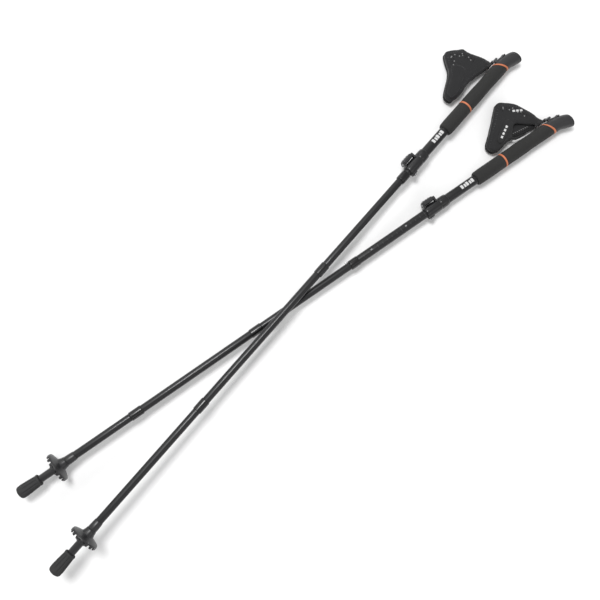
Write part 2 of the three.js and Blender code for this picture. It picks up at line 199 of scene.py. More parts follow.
def fillet(prof, r=0.5, n=3):
    """rounds the corners of a profile; closed when the first point repeats at the end"""
    ring = prof[0] == prof[-1]
    pts = prof[:-1] if ring else prof
    out, K = [], len(pts)
    for i, p in enumerate(pts):
        if not ring and i in (0, K - 1):
            out.append(p)
            continue
        a, b = Vector(pts[i - 1]), Vector(pts[(i + 1) % K])
        q = Vector(p)
        da, db = a - q, b - q
        if da.length < 1e-6 or db.length < 1e-6 or da.angle(db) > math.radians(160):
            out.append(p)
            continue
        rr = min(r, da.length * 0.45, db.length * 0.45)
        s0, s1 = q + da.normalized() * rr, q + db.normalized() * rr
        for k in range(n + 1):
            t = k / n
            v = s0 * (1 - t) ** 2 + q * 2 * t * (1 - t) + s1 * t ** 2
            out.append((v.x, v.y))
    if ring:
        out.append(out[0])
    return out


def turned(name, side, prof, mat, sides=64, r=0.5, fn=None, sharp=38, fil=True, slot=None):
    pr = fillet(prof, r) if fil else prof
    ring = pr[0] == pr[-1]
    if ring:
        pr = pr[:-1]
    # long runs are split, so a warp bends them smoothly
    dense = []
    K = len(pr)
    for i in range(K if ring else K - 1):
        a, b = pr[i], pr[(i + 1) % K]
        L = math.hypot(a[0] - b[0], a[1] - b[1])
        n = max(1, int(L / (3.0 if fn else 60.0)))
        for k in range(n):
            dense.append((a[0] + (b[0] - a[0]) * k / n, a[1] + (b[1] - a[1]) * k / n))
    if not ring:
        dense.append(pr[-1])
    V, F = [], []
    for s, rad in dense:
        for j in range(sides):
            t = 2 * math.pi * j / sides
            v = Vector((-s, rad * math.cos(t), rad * math.sin(t)))
            if fn:
                v = fn(v, t)
            V.append(v)
    K = len(dense)
    for i in range(K if ring else K - 1):
        i2 = (i + 1) % K
        for j in range(sides):
            j2 = (j + 1) % sides
            F.append((i * sides + j, i * sides + j2, i2 * sides + j2, i2 * sides + j))
    return emit(name, side, V, F, mat, sharp, slot)


def smooth(t):
    t = max(0.0, min(1.0, t))
    return t * t * (3 - 2 * t)


def grip_warp(v, t):
    s = -v.x
    k = 0.5 * smooth((s - 12) / 20) * (1 - smooth((s - 42) / 22))
    lean = -9.0 * ((40 - s) / 40) ** 1.7 if s < 40 else 0.0
    return Vector((-(s + k * v.y), v.y + lean, v.z))


def block(name, side, poly, s0, s1, mat, bevel=0.6, seg=3, slot=None):
    """section in the y-z plane, extruded along the pole, with rounded edges"""
    n = len(poly)
    V = [(-s0, y, z) for y, z in poly] + [(-s1, y, z) for y, z in poly]
    F = [tuple(range(n)), tuple(range(2 * n - 1, n - 1, -1))] + [(i, (i + 1) % n, n + (i + 1) % n, n + i) for i in range(n)]
    ob = emit(name, side, V, F, mat, 30, slot)
    md = ob.modifiers.new("Bevel", "BEVEL")
    md.width = bevel / 1000
    md.segments = seg
    md.limit_method = "ANGLE"
    md.angle_limit = math.radians(25)
    return ob


def smooth_poly(poly, it=2):
    for _ in range(it):
        q = []
        for i in range(len(poly)):
            a, b = Vector(poly[i]), Vector(poly[(i + 1) % len(poly)])
            q += [tuple(a * 0.75 + b * 0.25), tuple(a * 0.25 + b * 0.75)]
        poly = q
    return poly


def patch(name, side, s0, s1, t0, t1, rad, mat, thick=0.12, n=14):
    """thin mark wrapped on a shaft, angles in degrees from +y towards +z"""
    V, F = [], []
    for i in range(n + 1):
        t = math.radians(t0 + (t1 - t0) * i / n)
        for s in (s0, s1):
            for r in (rad - 0.05, rad + thick):
                V.append((-s, r * math.cos(t), r * math.sin(t)))
    for i in range(n):
        a, b = i * 4, (i + 1) * 4
        F += [(a, b, b + 1, a + 1), (a + 2, a + 3, b + 3, b + 2), (a + 1, b + 1, b + 3, a + 3), (a, a + 2, b + 2, b)]
    F += [(0, 1, 3, 2), (n * 4, n * 4 + 2, n * 4 + 3, n * 4 + 1)]
    return emit(name, side, V, F, mat, 30)


def cross_bar(name, side, s, z, prof, mat, sides=40, r=0.3):
    """solid of revolution across the pole: prof = [(y, radius)]"""
    pr = fillet(prof, r)
    V, F = [], []
    for y, rad in pr:
        for j in range(sides):
            t = 2 * math.pi * j / sides
            V.append((-s + rad * math.cos(t), y, z + rad * math.sin(t)))
    for i in range(len(pr) - 1):
        for j in range(sides):
            j2 = (j + 1) % sides
            F.append((i * sides + j, i * sides + j2, (i + 1) * sides + j2, (i + 1) * sides + j))
    return emit(name, side, V, F, mat)


def apply_mods(ob):
    bpy.context.view_layer.update()
    dg = bpy.context.evaluated_depsgraph_get()
    me = bpy.data.meshes.new_from_object(ob.evaluated_get(dg))
    old = ob.data
    ob.modifiers.clear()
    ob.data = me
    bpy.data.meshes.remove(old)


# ------------------------------------------------------------------ straps
def resample(poly, step):
    pts = smooth_poly(poly, 2)
    out = []
    for i in range(len(pts)):
        a, b = Vector(pts[i]), Vector(pts[(i + 1) % len(pts)])
        n = max(1, int(round((b - a).length / step)))
        out += [a.lerp(b, k / n) for k in range(n)]
    return out


def panel(name, side, outline, zc, thick, holes=(), sag=None, puff=3.0, fill=0.45, voxel=2.2):
    """padded fabric panel: rounded plate from its outline, filled by a short cloth simulation under pressure"""
    cu = bpy.data.curves.new(name + "_c", "CURVE")
    cu.dimensions = "2D"
    cu.fill_mode = "BOTH"
    cu.extrude = max(0.0003, (thick / 2 - 1.0) / 1000)
    cu.bevel_depth = 0.001
    cu.bevel_resolution = 2
    for poly in [outline, *holes]:
        pts = resample(poly, 2.0)
        sp = cu.splines.new("POLY")
        sp.points.add(len(pts) - 1)
        for p, q in zip(sp.points, pts):
            p.co = (-q.x / 1000, q.y / 1000, 0, 1)
        sp.use_cyclic_u = True
    tmp = bpy.data.objects.new(name + "_c", cu)
    scene.collection.objects.link(tmp)
    bpy.context.view_layer.update()
    me = bpy.data.meshes.new_from_object(tmp.evaluated_get(bpy.context.evaluated_depsgraph_get()))
    bpy.data.objects.remove(tmp)
    ob = bpy.data.objects.new(name, me)
    scene.collection.objects.link(ob)
    rm = ob.modifiers.new("Remesh", "REMESH")
    rm.mode = "VOXEL"
    rm.voxel_size = voxel / 1000
    apply_mods(ob)
    start = [v.co.copy() for v in ob.data.vertices]
    cl = ob.modifiers.new("Cloth", "CLOTH")
    st = cl.settings
    st.quality = 5
    st.mass = 0.15
    st.tension_stiffness = 18
    st.compression_stiffness = 12
    st.bending_stiffness = 1.5
    st.use_pressure = True
    st.uniform_pressure_force = puff
    st.effector_weights.gravity = 0
    cl.point_cache.frame_start = 1
    cl.point_cache.frame_end = 14
    for f in range(1, 15):
        scene.frame_set(f)
    apply_mods(ob)
    scene.frame_set(1)
    cap = 0.0016
    for v, s in zip(ob.data.vertices, start):
        dv = v.co - s
        dv.x *= 0.25
        dv.y *= 0.25
        if dv.length > cap:
            dv *= cap / dv.length
        v.co = s + dv
    me = ob.data
    for v in me.vertices:
        x, y, z = v.co * 1000
        dz = sag(-x, y) if sag else 0.0
        v.co = M[side] @ (Vector((x, y, z + zc + dz)) / 1000)
    sm = ob.modifiers.new("Smooth", "SMOOTH")
    sm.iterations = 3
    sm.factor = 0.5
    sb = ob.modifiers.new("Subsurf", "SUBSURF")
    sb.levels = sb.render_levels = 1
    apply_mods(ob)
    me = ob.data
    me.materials.clear()
    me.materials.append(MAT["strap_fabric"])
    for p in me.polygons:
        p.use_smooth = True
        p.material_index = 0
    return ob


def tree(ob):
    me = ob.data
    return BVHTree.FromPolygons([v.co for v in me.vertices], [tuple(p.vertices) for p in me.polygons])


def on_top(bv, side, s, y):
    o = M[side] @ Vector((-s / 1000, y / 1000, 0.08))
    dn = (M[side].to_3x3() @ Vector((0, 0, -1))).normalized()
    hit = bv.ray_cast(o, dn)
    return hit[0], hit[1]


def dots(name, side, bv, pts, rad=0.75, mat="painted_hole_shade"):
    """perforations: a rolled rim round a shallow recessed disc, coloured near-black as painted shade standing in for
    the depth of the hole
    """
    V, F, K = [], [], 12
    for s, y in pts:
        c, nrm = on_top(bv, side, s, y)
        if c is None:
            continue
        z = nrm.normalized()
        a = z.orthogonal().normalized()
        b = z.cross(a)
        base = len(V)
        for rr, h in ((1.35, 0.0), (1.2, 0.16), (1.0, 0.18), (0.85, 0.05), (0.0, 0.03)):
            for k in range(K):
                t = 2 * math.pi * k / K
                V.append(c + (a * math.cos(t) + b * math.sin(t)) * rr * rad / 1000 + z * h / 1000)
        for i in range(4):
            for k in range(K):
                k2 = (k + 1) % K
                F.append((base + i * K + k, base + i * K + k2, base + (i + 1) * K + k2, base + (i + 1) * K + k))
    inv = M[side].inverted()
    return emit(name, side, [inv @ v * 1000 for v in V], F, mat, 60, slot="strap_fabric")


def stitches(name, side, bv, path, length=2.2, gap=1.1, rad=0.28, mat="thread"):
    V, F, K = [], [], 6
    pts = [Vector(p) for p in path]
    pos, seglen = [], 0.0
    for i in range(len(pts) - 1):
        a, b = pts[i], pts[i + 1]
        L = (b - a).length
        t = seglen
        while t < L:
            q0, q1 = a.lerp(b, t / L), a.lerp(b, min(1.0, (t + length) / L))
            pos.append((q0, q1))
            t += length + gap
        seglen = t - L
    for q0, q1 in pos:
        c0, n0 = on_top(bv, side, q0.x, q0.y)
        c1, n1 = on_top(bv, side, q1.x, q1.y)
        if c0 is None or c1 is None or (c1 - c0).length > 0.004 or (c1 - c0).length < 0.0004:
            continue
        d = (c1 - c0).normalized()
        z = n0.normalized()
        x = d.cross(z).normalized()
        base = len(V)
        for t, rr in ((0, 0.3), (0.15, 1.0), (0.5, 1.15), (0.85, 1.0), (1, 0.3)):
            c = c0.lerp(c1, t) + z * 0.0001
            for k in range(K):
                w = 2 * math.pi * k / K
                V.append(c + (x * math.cos(w) + z * math.sin(w)) * rad * rr / 1000)
        for i in range(4):
            for k in range(K):
                k2 = (k + 1) % K
                F.append((base + i * K + k, base + i * K + k2, base + (i + 1) * K + k2, base + (i + 1) * K + k))
        F.append(tuple(base + k for k in range(K)))
        F.append(tuple(base + 4 * K + k for k in reversed(range(K))))
    inv = M[side].inverted()
    return emit(name, side, [inv @ v * 1000 for v in V], F, mat, 60, slot="strap_fabric")


def inset(poly, d):
    pts = resample(poly, 2.0)
    n, out = len(pts), []
    area = sum(pts[i].x * pts[(i + 1) % n].y - pts[(i + 1) % n].x * pts[i].y for i in range(n))
    sg = 1 if area > 0 else -1
    for i in range(n):
        t = (pts[(i + 3) % n] - pts[i - 3]).normalized()
        out.append(pts[i] + Vector((-t.y, t.x)) * d * sg)
    return [(p.x, p.y) for p in out]


def build_strap(side, d):
    z0, z1 = d["z"]
    body = f"{side}_strap"
    out = STRAP[side]
    n = f"{side}_strap_wrap"
    low = [(s, y) for s, y in out]
    edge = 2.2
    # the two layers of the wrap lie on each other and part in the middle, where the hand goes
    def sag_up(s, y):
        return 1.2 * math.sin((s - 40) / 110 * math.pi) - 0.0009 * (y - 48) ** 2 + 0.5 * math.sin(s * 0.11 + y * 0.07)
    def sag_lo(s, y):
        return 0.6 * math.sin(s * 0.09 + y * 0.05)
    lower = panel(n + "_back", side, low, z0 + 3.4, 4.6, sag=sag_lo)
    top_poly = out
    holes = []
    if side == "right":
        holes = [[(54, 18.2), (62, 16.6), (78, 14.6), (96, 13.8), (108, 15.6), (112, 20.5), (109, 27), (103, 34), (97, 40.4), (91, 42.4), (86, 40), (76, 32), (64, 23.4)]]
    upper = panel(n + "_front", side, top_poly, z1 - 3.6, 4.8, holes=holes, sag=sag_up)
    # side wall joining the two layers along the outer fold
    fold = [p for p in inset(out, 2.6)]
    V, F, K = [], [], 10
    ring = [Vector(p) for p in fold]
    cnt = len(ring)
    zm, hz = (z0 + z1) / 2, (z1 - z0) / 2 - 2.6
    keep = [i for i in range(cnt) if ring[i].y > 26 and 50 < ring[i].x < 142]
    keep.sort()
    # rotate the run so that it is contiguous
    start = next((k for k in range(len(keep)) if (keep[k] - 1) % cnt not in keep), 0)
    run = [keep[(start + k) % len(keep)] for k in range(len(keep))]
    for i in run:
        p = ring[i]
        t = (ring[(i + 2) % cnt] - ring[(i - 2) % cnt]).normalized()
        nrm = Vector((-t.y, t.x))
        cen = Vector((95, 40))
        if (p - cen).dot(nrm) < 0:
            nrm = -nrm
        for layer in (0, 1):
            for k in range(K + 1):
                w = math.pi * (k / K - 0.5)
                bulge = 1.9 * math.cos(w) - (2.0 if layer else 0.0)
                q = p + nrm * bulge
                V.append((-q.x, q.y, zm + hz * math.sin(w) * (1.0 if not layer else 0.96) + sag_up(p.x, p.y) * 0.5))
    W = 2 * (K + 1)
    for a in range(len(run) - 1):
        for k in range(K):
            i0, i1 = a * W + k, (a + 1) * W + k
            F.append((i0, i0 + 1, i1 + 1, i1))
            F.append((i0 + K + 1, i1 + K + 1, i1 + K + 2, i0 + K + 2))
        i0, i1 = a * W, (a + 1) * W
        F.append((i0, i1, i1 + K + 1, i0 + K + 1))
        F.append((i0 + K, i0 + 2 * K + 1, i1 + 2 * K + 1, i1 + K))
    e = (len(run) - 1) * W
    for k in range(K):
        F.append((k, k + K + 1, k + K + 2, k + 1))
        F.append((e + k, e + k + 1, e + k + K + 2, e + k + K + 1))
    wall = emit(n + "_fold", side, V, F, "strap_fabric", 80)
    bv = tree(upper)
    bl = tree(lower)
    pieces = [wall]
    border = inset(out, 3.4)
    pieces.append(stitches(n + "_stitch_a", side, bv, border + [border[0]]))
    b2 = inset(out, 5.2)
    pieces.append(stitches(n + "_stitch_b", side, bv, b2 + [b2[0]]))
    rows = []
    for off, step in ((9.5, 4.2), (13.0, 4.2)):
        b = inset(out, off)
        acc = 0.0
        for i in range(len(b) - 1):
            a, c = Vector(b[i]), Vector(b[i + 1])
            acc += (c - a).length
            if acc > step and a.y > 42 and a.x < 100:
                acc = 0.0
                rows.append((a.x, a.y))
    pieces.append(dots(n + "_perforations", side, bv, rows[0::3] + rows[1::3]))
    pieces.append(dots(n + "_eyelets", side, bv, rows[2::3], rad=0.85, mat="eyelet"))
    # padded front band along the outer edge, down to the wrist end
    band = {"right": [(92, 44.5), (95, 56), (103, 65), (112, 62), (126, 53), (140, 42), (152, 33), (155.5, 27), (151, 21), (140, 20), (128, 24.5), (115, 31), (102, 38.5)],
            "left": [(84, 44.5), (87, 56), (95, 67), (106, 60.5), (118, 52.5), (130, 47), (142, 40.5), (146.5, 34), (144.5, 27.5), (136, 26), (122, 27), (108, 32), (95, 38.5)]}[side]
    bd = panel(n + "_band", side, band, z1 + (-0.7 if side == "right" else 0.6), 2.5, sag=sag_up, puff=0.5)
    tb = tree(bd)
    bb = inset(band, 2.0)
    if side == "left":
        pieces.append(stitches(n + "_band_stitch", side, tb, bb + [bb[0]]))
    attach(bd, body)
    if side == "right":
        inner = [(72 + (i // 2) * 4.0, 21.0 + (i // 2) * 0.6 + (i % 2) * 4.0) for i in range(20)]
        pieces.append(dots(n + "_inner_perforations", side, bl, inner[0::2]))
        pieces.append(dots(n + "_inner_eyelets", side, bl, inner[1::2], rad=0.7, mat="eyelet"))
        # plain white woven marks
        def mark(nm, poly, bvh):
            V2, F2 = [], []
            q = [Vector(p) for p in poly]
            nu, nv = 12, 4
            for i in range(nu + 1):
                for j in range(nv + 1):
                    p = q[0].lerp(q[1], i / nu).lerp(q[3].lerp(q[2], i / nu), j / nv)
                    c, nn = on_top(bvh, side, p.x, p.y)
                    if c is None:
                        return None
                    V2.append((M[side].inverted() @ (c + nn * 0.00018)) * 1000)
            for i in range(nu):
                for j in range(nv):
                    a = i * (nv + 1) + j
                    F2.append((a, a + 1, a + nv + 2, a + nv + 1))
            o = emit(nm, side, V2, F2, "print_white", 60, slot="strap_fabric")
            so = o.modifiers.new("Solidify", "SOLIDIFY")
            so.thickness = 0.0003
            return o
        for k in range(3):
            s = 66 + k * 6.4
            mk = mark(f"{n}_mark_{k}", [(s, 52 + k * 3.2), (s + 4.4, 54.2 + k * 3.2), (s + 2.9, 57.6 + k * 3.2), (s - 1.5, 55.4 + k * 3.2)], bv)
            if mk:
                pieces.append(mk)
    for o in pieces:
        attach(o, body)
    for o in (lower, upper):
        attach(o, body)
    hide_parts(f"{side}_strap_wrap")


# ------------------------------------------------------------------ one pole
G = 0.3


def build_pole(side, d):
    c0, sl1 = d["collar"], d["sleeve"]
    sl0 = sl1 - 17.4
    tube_end = c0 + 40
    j1, j2 = d["f1"] + 12, d["f2"] + 12
    b, e = d["basket"], d["end"]

    def add(ob, body, *nodes):
        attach(ob, f"{side}_{body}")
        if nodes:
            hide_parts(*[f"{side}_{x}" for x in nodes])
        return ob

    SM = d["seam"]
    nm = lambda x: f"{side}_{x}_shape"
    # head: moulded shell with shallow grooves, cap, button in its frame
    def head(v, t):
        s = -v.x
        w = grip_warp(v, t)
        if s > 4 and abs(math.sin(t)) < 0.75 and math.cos(t) < 0:
            g = 0.45 * (0.5 + 0.5 * math.cos((s - 6) * 2 * math.pi / 4.4)) * smooth((0.75 - abs(math.sin(t))) / 0.3) * (1 - smooth((s - 26) / 4))
            w.y += g
        return w
    add(turned(nm("head_shell"), side, [(3.3, 0), (3.3, 12.6), (8, 12.85), (14, 12.95), (22, 12.85), (30, 12.65), (SM - 0.3, 12.55), (SM - 0.3, 0)], "grip_plastic",
               fn=head, r=0.8, fil=True, sides=96), "upper", "head_shell")
    add(turned(nm("head_cap"), side, [(0, 0), (0, 10.6), (0.9, 12.1), (3, 12.6), (3, 0)], "grip_plastic", fn=grip_warp, r=0.9, sides=96), "upper", "head_cap")
    add(block(nm("button_frame"), side, smooth_poly([(8.2, -5.6), (11.0, -5.4), (11.4, 0), (11.0, 5.4), (8.2, 5.6)], 1), 13.6, 25.6, "latch_plastic", 0.7), "upper")
    add(block(nm("release_button"), side, smooth_poly([(6.2, -4.1), (11.6, -4.1), (12.6, 0), (11.6, 4.1), (6.2, 4.1)], 1), 15, 24, "latch_plastic", 1.6), "button", "release_button")
    for k in range(2):
        add(block(f"{side}_button_rib_{k}", side, [(11.6, -2.8), (12.6, -2.2), (12.6, 2.2), (11.6, 2.8)], 16.1 + k * 1.4, 16.7 + k * 1.4, "latch_plastic", 0.2), "button")
    # strap latch on its pad
    add(block(nm("latch_base"), side, smooth_poly([(9.0, -5.0), (12.7, -4.8), (13.1, -3.0), (13.1, 3.0), (12.7, 4.8), (9.0, 5.0)], 1), 26.8, 36.5, "grip_plastic", 1.0), "upper")
    add(block(nm("strap_anchor"), side, smooth_poly([(13.3, -4.8), (16.6, -4.8), (17.8, -2.5), (17.8, 2.5), (16.6, 4.8), (13.3, 4.8)], 1), 29.7, 41.6, "latch_plastic", 1.8), "strap", "strap_anchor")
    add(cross_bar(nm("latch_peg"), side, 34, 0, [(10.2, 0), (10.2, 2.6), (14.6, 2.6), (14.6, 0)], "steel"), "strap")
    # neck of webbing from the latch to the wrap
    add(block(nm("strap_neck"), side, smooth_poly([(14.4, -6.2), (18.2, -6.2), (19.4, -4), (19.4, 0.5), (18.2, 1.8), (14.4, 1.8)], 1), 37, 52, "binding", 1.0, slot="strap_fabric"), "strap")
    # grip
    add(turned(nm("accent_ring_upper"), side, [(SM, 8.8), (SM + 3.3, 8.8), (SM + 3.3, 13.05), (SM, 13.0), (SM, 8.8)], "accent", fn=grip_warp, r=0.7, sides=96), "upper", "accent_ring_upper")
    def foam(v, t):
        return grip_warp(v, t)
    R2 = d["ring2"]
    prof = [(SM + 3.6, 8.8), (R2 - G, 8.8), (R2 - G, 12.7)]
    for s in (128, 118, 110, 100, 88, 75, 62, 54):
        if s < R2 - 4:
            prof.append((s, 12.72 + 0.28 * math.cos((s - 118) / 34.0 * math.pi)))
    prof += [(SM + 3.6, 12.8), (SM + 3.6, 8.8)]
    add(turned(nm("grip_foam_upper"), side, prof, "foam", fn=foam, r=0.7, sides=96), "upper", "grip_foam_upper")
    add(turned(nm("accent_ring_lower"), side, [(R2, 8.8), (R2 + 3.2, 8.8), (R2 + 3.2, 13.0), (R2, 13.0), (R2, 8.8)], "accent", r=0.7, sides=96), "upper", "accent_ring_lower")
    g = d["grip"]
    prof = [(R2 + 3.5, 8.8), (g, 8.8), (g, 10.4), (g - 1.2, 11.6), (g - 3.5, 12.4), (g - 14, 12.85), (R2 + 3.5, 12.75), (R2 + 3.5, 8.8)]
    s = g - 16
    add(turned(nm("grip_foam_lower"), side, prof, "foam", r=0.8, sides=96), "upper", "grip_foam_lower")
    add(turned(nm("upper_tube"), side, [(32, 7.8), (tube_end, 7.8), (tube_end, 8.5), (32, 8.5), (32, 7.8)], "shaft", r=0.2), "upper", "upper_tube")
    # plain block marks printed under the grip
    for k in range(5):
        add(patch(f"{side}_tube_mark_{k}", side, g + 6.5 + k * 5.6, g + 6.5 + k * 5.6 + (3.6 if k % 2 else 4.6), 58 if k % 2 else 50, 100, 8.5, "print_white"), "upper")
    # clamp
    col = [(c0, 8.8), (tube_end + 0.5, 8.8), (tube_end + 0.5, 7.85), (c0 + 46.5, 7.85), (c0 + 46.5, 9.4), (c0 + 45.0, 10.2), (c0 + 42, 10.6),
           (c0 + 18, 10.6), (c0 + 17, 10.1), (c0 + 15.6, 10.1), (c0 + 14.6, 10.6), (c0 + 6, 10.6), (c0 + 1.5, 10.2), (c0, 9.5), (c0, 8.8)]
    add(turned(nm("clamp_collar"), side, col, "clamp_plastic", r=0.5), "upper", "clamp_collar")
    for k, (a, q) in enumerate(((c0 + 19, c0 + 22.4), (c0 + 42.6, c0 + 46))):
        add(block(f"{side}_clamp_ear_{k}", side, smooth_poly([(7.6, 5.2), (9.4, 2.2), (16.4, 2.2), (18, 4), (18, 8), (16.2, 9.8), (8, 9.8), (6.6, 7.4)], 1), a, q, "clamp_plastic", 0.5), "upper")
    add(block(nm("screw_boss"), side, smooth_poly([(-8.6, -5), (-12.2, -3.6), (-12.2, 3.6), (-8.6, 5)], 1), c0 + 35, c0 + 46, "clamp_plastic", 0.6), "upper")
    lev = [(11.4, 4.4), (11.4, 8.4), (14.4, 10.4), (17.8, 9.8), (19.4, 7.4), (20.0, 3), (19.6, -3), (17.6, -8), (13.6, -12.2), (10.9, -11.2), (11.4, -7.4), (11.2, -3.6), (11.1, 1.0)]
    add(block(nm("clamp_lever"), side, smooth_poly(lev, 2), c0 + 22.8, c0 + 42.2, "clamp_plastic", 0.9), "lever", "clamp_lever")
    for k in range(3):
        add(block(f"{side}_lever_rib_{k}", side, smooth_poly([(18.6, -4.6), (20.2, -3.4), (20.6, 0), (20.4, 3.4), (18.8, 4.4)], 1), c0 + 26.6 + k * 5.0, c0 + 29.0 + k * 5.0, "clamp_plastic", 0.5), "lever")
    def shift_pin(v, t):
        return Vector((v.x, v.y + 14.4, v.z + 6.0))
    add(turned(nm("clamp_pin"), side, [(c0 + 18.6, 0), (c0 + 18.6, 1.5), (c0 + 46.4, 1.5), (c0 + 46.4, 0)], "steel", fn=shift_pin, sides=32, r=0.3), "upper", "clamp_pin")
    add(cross_bar(nm("clamp_screw"), side, c0 + 40.6, 0, [(-14.2, 0), (-14.2, 1.4), (-13.6, 1.5), (-14.2, 1.7), (-14.2, 3.0), (-12.7, 3.0), (-12.7, 1.5), (-10.6, 1.5), (-10.6, 0)], "steel", r=0.2), "screw", "clamp_screw")
    # shafts
    add(turned(nm("adjust_tube"), side, [(sl1 - 215, 6.8), (sl1 - 3.2, 6.8), (sl1 - 3.2, 7.5), (sl1 - 215, 7.5), (sl1 - 215, 6.8)], "shaft", r=0.2), "adjust", "adjust_tube")
    if side == "right":
        top = c0 + 50
        k = 0
        s = top
        while s < sl0 - 8:
            long = k % 5 == 0
            add(patch(f"{side}_scale_{k}", side, s, s + 0.7, 60 if long else 74, 112 if long else 100, 7.5, "print_faint", 0.05, 8), "adjust")
            s += 10
            k += 1
        for q, ss in enumerate((364.5, 437.8)):
            add(patch(f"{side}_scale_block_{q}", side, ss - 1.6, ss + 1.6, 66, 84, 7.5, "print_scale", 0.08, 8), "adjust")
    add(turned(nm("lock_sleeve"), side, [(sl0, 7.8), (sl1 - 2.9, 7.8), (sl1 - 2.9, 6.8), (sl1, 6.8), (sl1, 7.6), (sl1 - 1.2, 8.3), (sl0 + 1, 8.3), (sl0, 8.1), (sl0, 7.8)], "gloss_black", r=0.35), "adjust", "lock_sleeve")
    add(turned(nm("section_1"), side, [(sl1 - 40, 5.8), (j1, 5.8), (j1, 6.5), (sl1 - 40, 6.5), (sl1 - 40, 5.8)], "shaft", r=0.2), "adjust", "section_1_tube")
    y = d["button"]
    add(cross_bar(nm("snap_button"), side, sl1 + 3.4, 0, [(y * 4.2, 0), (y * 4.2, 2.2), (y * 8.2, 2.2), (y * 9.0, 1.7), (y * 9.3, 0.8), (y * 9.3, 0)], "chrome", r=0.5), "snap", "snap_button")
    def ferrule(a):
        return [(a, 6.8), (a + 22, 6.8), (a + 22, 7.2), (a + 21, 7.6), (a + 1, 7.6), (a, 7.2), (a, 6.8)]
    add(turned(nm("ferrule_1"), side, ferrule(d["f1"]), "gloss_black", r=0.3), "adjust", "ferrule_1")
    add(turned(nm("ferrule_2"), side, ferrule(d["f2"]), "gloss_black", r=0.3), "middle", "ferrule_2")
    add(turned(nm("spigot_1"), side, [(j1 - 30, 2), (j1 + 20, 2), (j1 + 20, 5.5), (j1 - 30, 5.5), (j1 - 30, 2)], "alloy", r=0.6), "middle", "spigot_1")
    add(turned(nm("section_2"), side, [(j1 + 0.5, 5.8), (j2, 5.8), (j2, 6.5), (j1 + 0.5, 6.5), (j1 + 0.5, 5.8)], "shaft", r=0.2), "middle", "section_2_tube")
    add(turned(nm("spigot_2"), side, [(j2 - 30, 2), (j2 + 20, 2), (j2 + 20, 5.5), (j2 - 30, 5.5), (j2 - 30, 2)], "alloy", r=0.6), "lower", "spigot_2")
    add(turned(nm("section_3"), side, [(j2 + 0.5, 5.8), (b - 14, 5.8), (b - 14, 6.5), (j2 + 0.5, 6.5), (j2 + 0.5, 5.8)], "shaft", r=0.2), "lower", "section_3_tube")
    add(turned(nm("tension_cord"), side, [(sl1 - 24, 0), (sl1 - 24, 1.25), (j2 + 30, 1.25), (j2 + 30, 0)], "cord", r=0.3, sides=24), "adjust", "tension_cord")
    # tip
    add(turned(nm("tip_shaft"), side, [(b - 29, 6.8), (b - 13.5, 6.8), (b - 13.5, 0), (e - 24.5, 0), (e - 24.5, 3.1), (e - 15, 3.1), (e - 15, 5.0), (e - 20, 6.2),
                                      (b - 13, 6.4), (b - 13.2, 7.7), (b - 19, 7.7), (b - 28, 7.2), (b - 29, 6.8)][:12] + [(b - 29, 6.8)], "tip_plastic", r=0.3), "lower", "tip_shaft")
    add(turned(nm("carbide_tip"), side, [(e - 24.2, 0), (e - 24.2, 2.8), (e - 12, 2.8), (e - 9, 2.0), (e - 9, 0)], "steel", sides=40, r=0.3), "lower", "carbide_tip")
    NT = 16

    def teeth(v, t):
        r = math.hypot(v.y, v.z)
        s = -v.x
        if r > 19.0 and s > b + 3.0:
            w = math.cos(t * NT)
            gap_ = smooth((0.10 - w) / 0.22)
            v = Vector((v.x + gap_ * (s - (b + 2.6)) * 0.86, v.y, v.z))
        elif 11.5 < r < 20.5 and s > b + 0.8:
            w = smooth((-math.cos(t * 8) - 0.1) / 0.35) * smooth((r - 11.5) / 2) * smooth((20.5 - r) / 2)
            v = Vector((v.x + w * 1.3, v.y, v.z))
        return v
    add(turned(nm("basket"), side, [(b - 12.8, 6.75), (b + 12.5, 6.75), (b + 12.5, 8.3), (b + 8.2, 8.6), (b + 7.6, 7.8), (b + 1.6, 8.4), (b + 1.9, 12), (b + 2.3, 16),
                                   (b + 3.0, 20), (b + 3.6, 21.6), (b + 7.2, 22.0), (b + 7.2, 23.9), (b + 3.0, 24.3), (b + 0.9, 23.6), (b - 0.4, 20), (b - 1.8, 15.5), (b - 3.8, 10.6), (b - 9, 8.8), (b - 12.8, 8.2), (b - 12.8, 6.75)],
               "tip_plastic", sides=256, r=0.5, fn=teeth, sharp=50), "basket", "basket")
    # rubber foot with upright flutes
    def flutes(v, t):
        s = -v.x
        r = math.hypot(v.y, v.z)
        if r > 7.5 and e - 35 < s < e - 5:
            k = smooth((s - (e - 35)) / 3) * (1 - smooth((s - (e - 11)) / 4))
            q = (r - 1.25 * k * smooth((math.cos(t * 10) - 0.15) / 0.5)) / r
            return Vector((v.x, v.y * q, v.z * q))
        return v
    add(turned(nm("tip_protector"), side, [(e - 38.5, 6.6), (e - 14.5, 6.6), (e - 14.5, 3.4), (e - 7.5, 3.4), (e - 7.5, 0), (e, 0), (e, 6.5), (e - 1.4, 9.2), (e - 4, 10.4),
                                          (e - 10, 10.8), (e - 22, 10.1), (e - 34.5, 9.1), (e - 35.5, 9.5), (e - 37.6, 9.4), (e - 38.5, 8.5), (e - 38.5, 6.6)],
               "rubber", sides=120, r=0.6, fn=flutes, sharp=50), "foot", "tip_protector")
